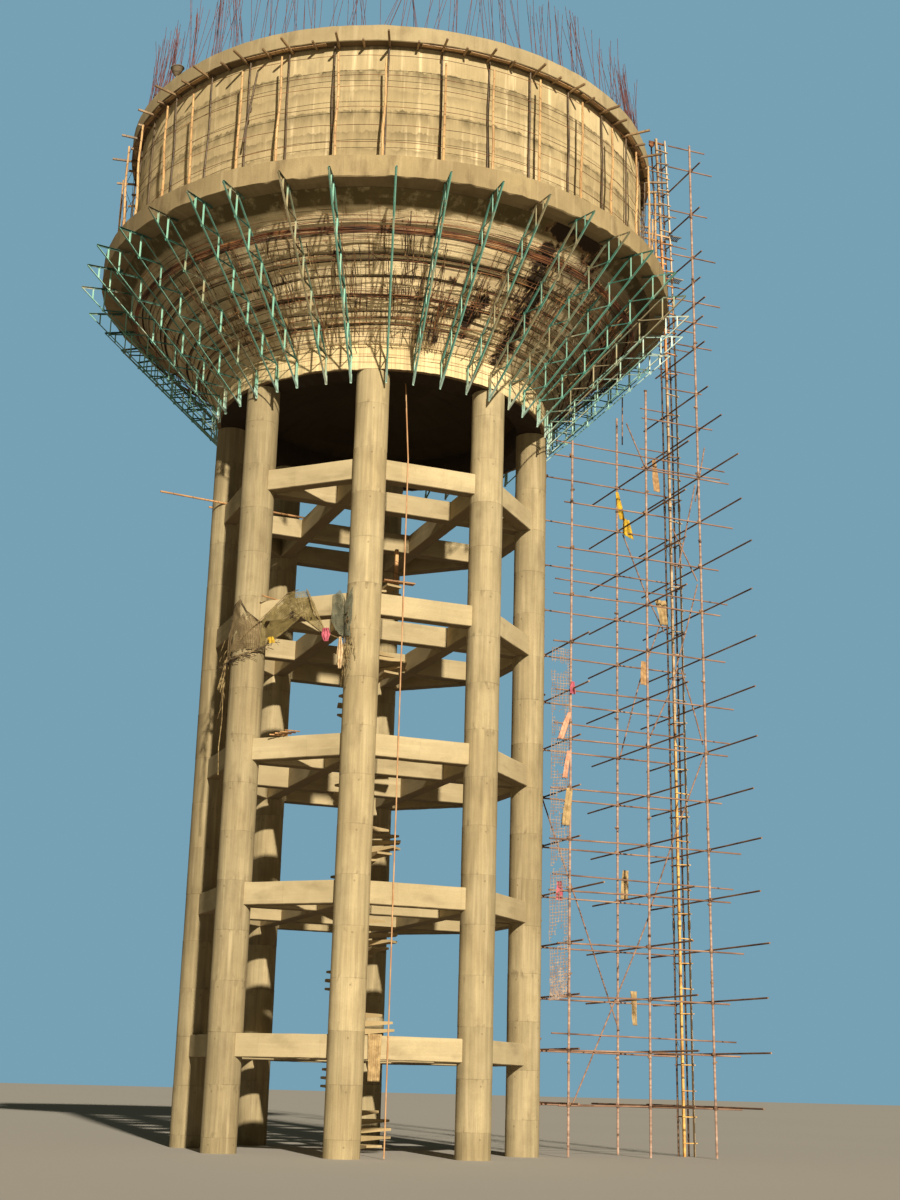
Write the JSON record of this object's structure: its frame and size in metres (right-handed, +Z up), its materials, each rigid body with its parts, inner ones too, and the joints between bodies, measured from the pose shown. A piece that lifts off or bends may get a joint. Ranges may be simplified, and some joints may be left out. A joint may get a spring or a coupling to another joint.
{
  "type": "water tower",
  "caption": "Elevated concrete water tower under construction: braced round columns, conical tank base, open round tank, hanging steel formwork frames, hoist mast and light scaffold.",
  "frame": {"origin": "on the tower's axis at ground level, at the foot of the stair post", "axes": "+Z up along the tower's axis; -Y is the front, between the two front columns; +X is the side with the hoist mast and scaffold"},
  "size_m": [18.483, 17.166, 30.4],
  "materials": {
    "concrete": "dry board-marked concrete, tan, with dark stains and lime runs",
    "raw_concrete": "brown-grey concrete in plank bands, with rust and stuck straw",
    "frame_steel": "worn blue-green paint with rust at the joints",
    "bamboo": "dry orange-yellow bamboo with nodes",
    "rebar": "rusty ribbed bar, purple-brown",
    "mast_steel": "orange rust over old paint",
    "scaffold_steel": "pinkish-brown rust on tube and bamboo",
    "riser": "thin orange-tan pipe with a dull, dusty surface",
    "net": "torn brown-green net with straw"
  },
  "bodies": {
    "root": {"column_front_right": "concrete", "column_right_front": "concrete", "column_right_back": "concrete", "column_back_right": "concrete", "column_back_left": "concrete", "column_left_back": "concrete", "column_left_front": "concrete", "column_front_left": "concrete", "cross_brace_1": "concrete", "cross_brace_2": "concrete", "cross_brace_3": "concrete", "cross_brace_4": "concrete", "cross_brace_5": "concrete", "ring_beam": "concrete", "gallery_ring": "concrete", "top_kerb": "concrete", "bottom_dome": "raw_concrete", "cone_front": "raw_concrete", "cone_front_right": "raw_concrete", "cone_right": "raw_concrete", "cone_back_right": "raw_concrete", "cone_back": "raw_concrete", "cone_back_left": "raw_concrete", "cone_left": "raw_concrete", "cone_front_left": "raw_concrete", "tank_wall_front": "concrete", "tank_wall_front_right": "concrete", "tank_wall_right": "concrete", "tank_wall_back_right": "concrete", "tank_wall_back": "concrete", "tank_wall_back_left": "concrete", "tank_wall_left": "concrete", "tank_wall_front_left": "concrete", "spiral_stair": "concrete", "formwork_frames_front": "frame_steel", "formwork_frames_front_right": "frame_steel", "formwork_frames_right": "frame_steel", "formwork_frames_back_right": "frame_steel", "formwork_frames_back": "frame_steel", "formwork_frames_back_left": "frame_steel", "formwork_frames_left": "frame_steel", "formwork_frames_front_left": "frame_steel", "gallery_poles_front": "bamboo", "gallery_poles_right": "bamboo", "gallery_poles_back": "bamboo", "gallery_poles_left": "bamboo", "starter_bars_front": "rebar", "starter_bars_right": "rebar", "starter_bars_back": "rebar", "starter_bars_left": "rebar", "hoist_mast": "mast_steel", "scaffold_frame_inner": "scaffold_steel", "scaffold_frame_middle": "scaffold_steel", "scaffold_frame_outer": "scaffold_steel", "scaffold_ledgers_near": "scaffold_steel", "scaffold_ledgers_far": "scaffold_steel", "riser_pipe": "riser", "debris_net": "net"}
  },
  "joints": []
}
